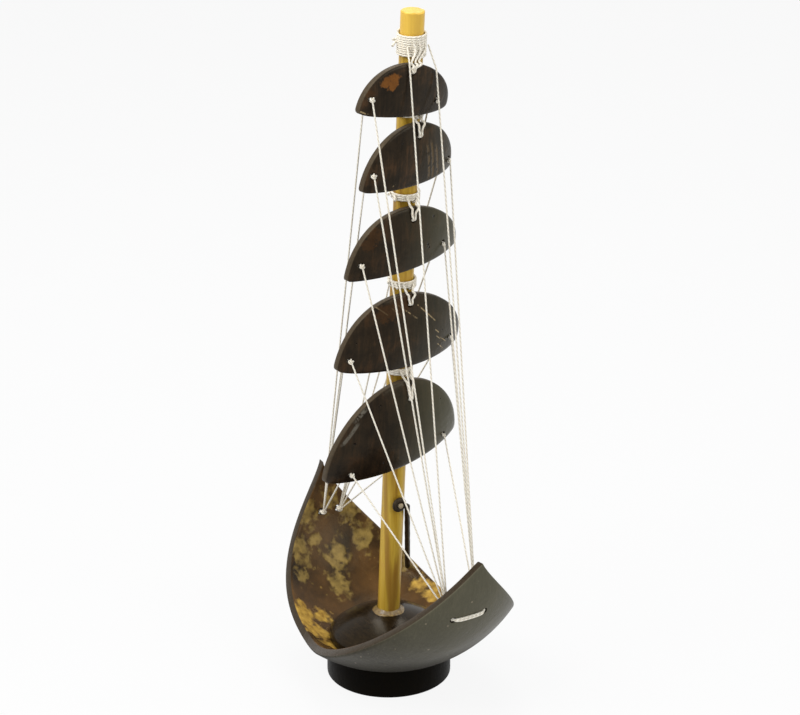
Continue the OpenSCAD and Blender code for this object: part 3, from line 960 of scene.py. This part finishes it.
def mast():
    """Bamboo: not quite round, slightly chipped at the masthead, and standing on the dome."""
    rows = 130
    profile = [(0.02, -0.2), (MAST_R - 0.5, -0.2)]
    profile += [(MAST_R, 0.2 + (MAST_LEN - 0.6) * k / rows) for k in range(rows + 1)]
    profile += [(MAST_R - 0.35, MAST_LEN - 0.05), (MAST_R - 1.2, MAST_LEN), (0.02, MAST_LEN)]

    def wobble(a, r, z):
        if r < 1:
            return 0
        flat = 0.10 * (1 + cos(2 * a + 0.8)) + 0.05 * (1 + cos(5 * a + 2.0))
        drift = 0.06 * (1 + noise.noise(Vector((a, z * 0.03, 4.0))))
        return -flat - drift

    verts, faces = lathe(profile, 72, raked, wobble)
    centre, up = raked((0, 0, MAST_LEN)), along_mast(0, 0, 1)
    for k, v in enumerate(verts):
        if (v - centre).dot(up) > -0.9:
            chip = 0.35 * max(0.0, noise.noise(Vector((v.x * 0.45, v.y * 0.45, 7.0))))
            verts[k] = v - Vector((0, 0, chip))
    piece("mast_bamboo", verts, faces, BAMBOO, "boat", ["mast"])


def over_dome(p, lift):
    """The point above the dome where p is."""
    return Vector((p.x, p.y, STEP_C.z + sqrt(STEP_CURVE_R**2 - p.x**2 - p.y**2) + lift))


def mast_glue():
    """A lumpy bead of glue round the mast's foot, on the dome."""
    clear = 0.06
    sides, rings = 96, 9
    verts = []
    for k in range(rings):
        t = k / (rings - 1)
        for c in range(sides):
            a = 2 * pi * c / sides
            lump = 0.5 + 0.5 * noise.noise(Vector((cos(a) * 1.7, sin(a) * 1.7, 3.0)))
            r = MAST_R + 0.1 + (1.3 + 0.9 * lump) * t
            up = 1.6 * (0.45 + 0.55 * lump) * (1 - t) ** 1.6
            verts.append(over_dome(raked((r * cos(a), r * sin(a), 0)), clear + up))
    verts += [over_dome(v, clear) for v in verts[:sides]]
    # from the mast down to the rim, in under it, and up along the mast again
    faces = [f[::-1] for f in grid_faces(rings + 1, sides, ring=True)]
    piece("glue_bead", verts, faces, GLUE, "boat", ["mast_glue"])


def mast_brace():
    """A bent stick: its eye on the mast's stern side, its arm down to the hull's wall."""
    eye = raked((MAST_R + PLAY + EYE_T / 2, EYE_SHIFT, BRACE_UP))
    axis, up = along_mast(1, 0, 0), along_mast(0, 0, 1)
    side = up.cross(axis)
    ring_r = (EYE_R + PIN_R + PLAY) / 2
    verts = []
    steps, sides = 40, 14
    for k in range(steps):
        a = 2 * pi * k / steps
        radial = (cos(a) * side + sin(a) * up).normalized()
        p = eye + ring_r * radial
        for c in range(sides):
            b = 2 * pi * c / sides
            lump = 1 + 0.08 * noise.noise(p * 0.6 + Vector((0, 0, c * 0.4)))
            half_w = (EYE_R - PIN_R - PLAY) / 2 * lump
            verts.append(p + radial * half_w * cos(b) + axis * EYE_T / 2 * sin(b))
    parts = [(verts, grid_faces(steps, sides, ring=True), [])]
    top = raked((MAST_R + EYE_T + 0.8 * BRACE_R, BRACE_R + MAST_R * 0.18, BRACE_UP))
    out = sqrt((HULL_IN_R - GAP) ** 2 - (HULL_C.z - BRACE_FOOT_Z) ** 2)
    foot = Vector((out * cos(BRACE_TURN), out * sin(BRACE_TURN), BRACE_FOOT_Z))
    down = (foot - top).normalized()
    crook = top - side.normalized() * 0.9 + down * 0.4
    arm = smooth_path([crook, top + down * 1.2, top + down * 5, top.lerp(foot, 0.5), foot], 1.0)

    def girth(t):
        return BRACE_R * (0.97 + 0.06 * noise.noise(Vector((t * 14, 1.0, 2.0))))

    verts, faces, _ = joined(parts + [tube(arm, girth, 16)])
    piece("brace_stick", verts, faces, STICK, "boat", ["mast_brace"])

    head = MAST_R + PLAY + EYE_T + PLAY

    def at_pin(p):
        return raked((head + p.z, EYE_SHIFT + p.x, BRACE_UP + p.y))

    profile = [(0.01, -5.2), (PIN_R, -5.2), (PIN_R, 0.0), (1.02, 0.02), (1.12, 0.2)]
    profile += [(1.05, 0.55), (0.7, 0.76), (0.01, 0.8)]
    verts, faces = lathe(profile, 32, at_pin)
    faces = [f[::-1] for f in faces]
    piece("brace_pin_head", verts, faces, PALE_PIN, "boat", ["brace_pin"])


# ------ sails
def sail_outline(i, count=168):
    """Evenly spaced points round a sail, a leaning half ellipse over a shallow rounded foot."""
    half = SAIL_W[i] / 2
    angles = [pi * k / 240 for k in range(240)]
    upper = [
        (half * cos(t), SAIL_RISE[i] * sin(t) * (1 - SAIL_LEAN[i] * cos(t))) for t in angles
    ]
    lower = [(-half * cos(t), -SAIL_SAG[i] * sqrt(max(0.0, sin(t)))) for t in angles]
    ends = [Vector(p) for p in upper + lower + upper[:1]]
    lengths = [0.0]
    for a, b in zip(ends, ends[1:]):
        lengths.append(lengths[-1] + (b - a).length)
    out, k = [], 0
    for j in range(count):
        want = lengths[-1] * j / count
        while lengths[k + 1] < want:
            k += 1
        t = (want - lengths[k]) / max(1e-9, lengths[k + 1] - lengths[k])
        out.append(ends[k].lerp(ends[k + 1], t))
    for _ in range(2):
        out = [(out[k - 1] + out[k] * 2 + out[(k + 1) % count]) / 4 for k in range(count)]
    return out


def sail(i):
    """A curved half moon with eased edges and three holes."""
    outline = sail_outline(i)
    count = len(outline)
    inward = []
    for k in range(count):
        d = (outline[(k + 1) % count] - outline[k - 1]).normalized()
        inward.append(Vector((-d.y, d.x)))
    middle = Vector((-SAIL_LEAN[i] * SAIL_W[i] * 0.3, SAIL_RISE[i] * 0.42))
    bevel, rows = SAIL_BEVEL[i], 17
    # (how far in from the outline, how far from the back to the front)
    edge = [(bevel, 0.0), (bevel * 0.3, 0.055), (0.0, 0.17), (0.0, 0.5), (0.0, 0.83)]
    edge += [(bevel * 0.3, 0.945), (bevel, 1.0)]

    def place(p, share):
        s, z = rolled(i, p.x, p.y)
        depth = back(i, s, z) * (1 - share) + front(i, s, z) * share
        # hand-sanded faces are never quite true
        wave = 0.10 * noise.noise(Vector((s * 0.11, z * 0.11, i * 9.0)))
        return sail_point(i, depth - 0.05 + wave * 0.9 * share, s, z)

    rings = []
    base = [outline[k] + inward[k] * bevel for k in range(count)]
    for r in range(1, rows):
        rings.append([place(middle.lerp(p, r / rows), 0.0) for p in base])
    for inset, share in edge:
        rings.append([place(outline[k] + inward[k] * inset, share) for k in range(count)])
    for r in range(rows - 1, 0, -1):
        rings.append([place(middle.lerp(p, r / rows), 1.0) for p in base])
    verts, faces = capped(rings, place(middle, 0.0), place(middle, 1.0))
    body = f"sail_{i + 1}_group"
    obj = piece(f"sail_{i + 1}_shell", verts, faces, sail_material(i), body,
                [f"sail_{i + 1}"])
    bores = []
    for s, z in (top_hole(i), side_hole(i, -1), side_hole(i, 1)):
        path = [sail_point(i, depth, s, z) for depth in (back(i, s, z) - 2, front(i, s, z) + 2)]
        bores.append(tube(path, SAIL_HOLE_R, 20))
    carve(obj, bores)


# ------ thread
def lashing(i):
    """Turns round the mast above a sail, and strands from them through the sail's top hole."""
    low = sail_top(i) + 0.5 + LASH_R
    coil_r = MAST_R + RUNNING_GAP + LASH_R + 0.08
    height = LASH_H[i] - 2 * LASH_R
    turns = height / (2 * LASH_R * 0.98)
    rng = random.Random(40 + i)
    coil = []
    steps = int(turns * 30)
    for k in range(steps + 1):
        a = 2 * pi * turns * k / steps + rng.uniform(-0.02, 0.02)
        r = coil_r + 0.05 * noise.noise(Vector((k * 0.05, i, 0)))
        coil.append(raked((r * cos(a), r * sin(a), low + height * k / steps)))
    parts = [tube(coil, LASH_R)]
    s0, z0 = top_hole(i)
    top = sail_top(i)
    count, spread, shift = (3, 2.6, 0.2) if i == 0 else (2, 2.1, 0.45)
    lift = LASH_R + 0.18
    for k in range(count):
        side = 2 * k / (count - 1) - 1
        start = s0 * shift + side * spread
        over = s0 * 0.75 + side * spread * 0.72
        path = [
            sail_point(i, MAST_R + 0.4, start * 1.05, low + LASH_H[i] * 0.72),
            sail_point(i, MAST_R + 1.25, start, low + LASH_H[i] * 0.3),
            sail_point(i, (front(i, over, top) + MAST_R + 2) / 2, over, top + 0.75),
            sail_point(i, front(i, over, top - 0.4) + lift + 0.2, over, top - 0.2),
            sail_point(i, front(i, s0, (top + z0) / 2) + lift, s0 + side * spread * 0.4,
                       (top + z0) / 2 + 0.4),
            sail_point(i, front(i, s0, z0) + lift * 0.8, s0 + side * 0.5, z0 + 0.6),
            sail_point(i, front(i, s0, z0) - 0.6, s0 + side * 0.3, z0 + 0.1),
            sail_point(i, back(i, s0, z0) - 0.1, s0 + side * 0.3, z0),
        ]
        parts.append(tube(smooth_path(path, 0.5), LASH_R))
    if i in (0, 2, 3):
        # cut ends of the lashing's knot stand away from the mast
        for k, (turn, reach) in enumerate(((-1.9, 2.6), (-2.5, 1.8))):
            a = turn + 0.3 * i
            z = low + LASH_H[i] * 0.5
            path = [
                raked((coil_r * cos(a), coil_r * sin(a), z)),
                raked(((coil_r + 0.9) * cos(a), (coil_r + 0.9) * sin(a), z + 0.3)),
                raked(((coil_r + reach) * cos(a + 0.2), (coil_r + reach) * sin(a + 0.2), z - 0.9 + k)),
            ]
            parts.append(tube(smooth_path(path, 0.4), lambda t: LASH_R * (0.9 + 0.25 * t)))
    v, f, u = joined(parts)
    piece(f"lashing_thread_{i + 1}", v, f, THREAD, f"sail_{i + 1}_group", [f"lashing_{i + 1}"],
          u)


def blended(name, parts, nodes):
    """Thread that is held at the hull and runs past a sail, as one mesh in the boat's frame that no
    body carries.
    """
    v, f, u = joined(parts)
    obj = piece(name, v, f, THREAD, None, nodes, u)
    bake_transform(obj)


def stay(i, side):
    """One thread: bow knot, behind the sail's hole, through it, front knot, stern knot."""
    s, z = side_hole(i, side)
    rear = sail_point(i, back(i, s, z) - 0.5, s, z)
    fore = sail_point(i, front(i, s, z) + 0.75, s, z)
    level = Vector((0, 0, 0.28 * (2 - i)))
    bow = at_end(BOW_AZ, -side * BOW_HALF, KNOT_AT_R) + level
    stern = at_end(0, side * STERN_HALF, KNOT_AT_R) + level
    name = f"{'port' if side < 0 else 'starboard'}_{i + 1}"
    path = straight_path([bow, rear, fore, stern], 6)
    parts = [tube(path, STAY_R)]
    if side < 0:
        parts.append(knot(fore, 1.15, STAY_R, fore - rear, i))
    else:
        # these knots have sunk into their holes
        low = fore.lerp(stern, 0.006) - (fore - rear).normalized() * 0.5
        parts.append(knot(low, 0.85, STAY_R, fore - rear, i))
    blended(f"stay_thread_{name}", parts, [f"stay_{name}"])


def backstay(side, start, place):
    """From the masthead lashing over the top sail's edge down to a stern hole."""
    low = sail_top(0) + 0.5
    t = radians(place)
    over, rim = rolled(
        0, SAIL_W[0] / 2 * cos(t), SAIL_RISE[0] * sin(t) * (1 - SAIL_LEAN[0] * cos(t))
    )
    top = sail_point(0, start[0], start[1], low + LASH_H[0] / 2)
    edge = sail_point(0, front(0, over, rim) + 0.7, over, rim + 0.4)
    stern = at_end(0, side * STERN_HALF, KNOT_AT_R) + Vector((0, 0, 0.9))
    name = "port" if side < 0 else "starboard"
    path = straight_path([top, edge, stern], 6)
    parts = [tube(path, STAY_R)]
    blended(f"backstay_thread_{name}", parts, [f"backstay_{name}"])


def tie(az, half, name, size):
    """Knots inside the hull and the doubled thread between its holes outside."""
    parts = []
    for turn in (-half, half):
        inside = at_end(az, turn, KNOT_AT_R)
        outward = (inside - HULL_C).normalized()
        parts.append(knot(inside, KNOT_R * size, 0.5 * size, outward, turn * 40))
        parts.append(ball(inside, size, turn * 10))
        path = [at_end(az, turn, r) for r in (KNOT_AT_R, HULL_IN_R + 1, HULL_R - 0.4)]
        parts.append(tube(path, 0.75, 10))
    steps, thread_r = 12, 0.42
    for lift in (-0.4, 0.4):
        path = []
        for k in range(steps + 1):
            share = 2 * k / steps - 1
            p = at_end(az, half * share, HULL_R + thread_r - 0.9 * abs(share) ** 8)
            path.append(p + Vector((0, 0, lift * (1 - abs(share) ** 6))))
        parts.append(tube(smooth_path(path, 0.6), thread_r))
    v, f, u = joined(parts)
    piece(f"{name}_thread", v, f, THREAD, "boat", [name], u)


hull()
foot_ring()
mast_step()
mast()
mast_glue()
mast_brace()
for index in SAILS:
    sail(index)
    lashing(index)
    stay(index, -1)
    stay(index, 1)
WRAP_R = MAST_R + RUNNING_GAP + 2 * LASH_R + 0.15
backstay(-1, (WRAP_R * 0.5, -WRAP_R * 0.9), 102)
backstay(1, (WRAP_R * 0.9, WRAP_R * 0.6), 64)
tie(0, STERN_HALF, "stern_tie", 1.0)
tie(BOW_AZ, BOW_HALF, "bow_tie", 0.8)


# ------ floor, light and camera
MIDDLE_Z = 130
CAMERA_AZ, CAMERA_EL, CAMERA_DISTANCE = 57.0, 21.1, 985.0
CAMERA_LENS = 113.6
# the point it looks at: how far to the right of the boat's axis, and how high
CAMERA_AIM_RIGHT, CAMERA_AIM_Z = 4.6, 136.5
FLOOR_Z = -0.02


def lamp(name, towards, distance, size, power):
    """A square soft light that looks at the middle of the boat."""
    light = bpy.data.lights.new(name, "AREA")
    light.size = size
    light.energy = power
    obj = added(name, light)
    aim = Vector((0, 0, MIDDLE_Z * MM))
    obj.location = aim + towards.normalized() * distance
    obj.rotation_euler = (aim - obj.location).to_track_quat("-Z", "Y").to_euler()


def around(azimuth, elevation):
    """The direction from the boat to something that stands there."""
    a, e = radians(azimuth), radians(elevation)
    return Vector((sin(a) * cos(e), -cos(a) * cos(e), sin(e)))


def floor():
    sides, rings = 96, [50, 300, 800, 2000, 6000]
    verts = [Vector((0, 0, FLOOR_Z))]
    for r in rings:
        for c in range(sides):
            a = 2 * pi * c / sides
            verts.append(Vector((r * cos(a), r * sin(a), FLOOR_Z)))
    faces = [tuple(k + 1 for k in reversed(f)) for f in grid_faces(len(rings), sides)]
    faces += [(0, 1 + c, 1 + (c + 1) % sides) for c in range(sides)]
    piece("floor_disc", verts, faces, floor_material(), None, crease=0)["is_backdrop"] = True


def world():
    made = bpy.data.worlds.new("studio")
    bpy.context.scene.world = made
    made.use_nodes = True
    tree = made.node_tree
    tree.nodes.clear()
    path = tree.nodes.new("ShaderNodeLightPath")
    mix = tree.nodes.new("ShaderNodeMixShader")
    out = tree.nodes.new("ShaderNodeOutputWorld")
    # (colour, strength) that lights the boat, and that is seen or mirrored
    for slot, (colour, strength) in enumerate((((0.97, 0.98, 1, 1), 0.62), ((1, 1, 1, 1), 1.0))):
        sky = tree.nodes.new("ShaderNodeBackground")
        sky.inputs["Color"].default_value = colour
        sky.inputs["Strength"].default_value = strength
        tree.links.new(sky.outputs[0], mix.inputs[slot + 1])
    share = path.outputs["Is Camera Ray"]
    for ray in ("Is Glossy Ray", "Is Transmission Ray"):
        either = tree.nodes.new("ShaderNodeMath")
        either.operation = "MAXIMUM"
        tree.links.new(share, either.inputs[0])
        tree.links.new(path.outputs[ray], either.inputs[1])
        share = either.outputs[0]
    tree.links.new(share, mix.inputs[0])
    tree.links.new(mix.outputs[0], out.inputs[0])


def camera():
    data = bpy.data.cameras.new("camera")
    data.lens = CAMERA_LENS
    data.sensor_width = 36
    obj = added("camera", data)
    a = radians(CAMERA_AZ)
    right = Vector((cos(a), sin(a), 0))
    aim = (right * CAMERA_AIM_RIGHT + Vector((0, 0, CAMERA_AIM_Z))) * MM
    back_way = around(CAMERA_AZ, CAMERA_EL)
    obj.location = aim + back_way * CAMERA_DISTANCE * MM
    obj.rotation_euler = (-back_way).to_track_quat("-Z", "Y").to_euler()
    data.clip_start, data.clip_end = 0.05, 30
    bpy.context.scene.camera = obj


floor()
world()
camera()
# (direction, distance and size in metres, watts)
lamp("key", around(CAMERA_AZ - 55, 48), 0.9, 0.5, 7.0)
lamp("fill", around(CAMERA_AZ + 60, 30), 1.0, 0.7, 4.0)
lamp("top", around(CAMERA_AZ + 180, 62), 0.9, 0.5, 4.0)

bpy.context.scene.view_settings.view_transform = "Standard"

[[list(p) for p in box] for box in (cad_box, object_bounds())]
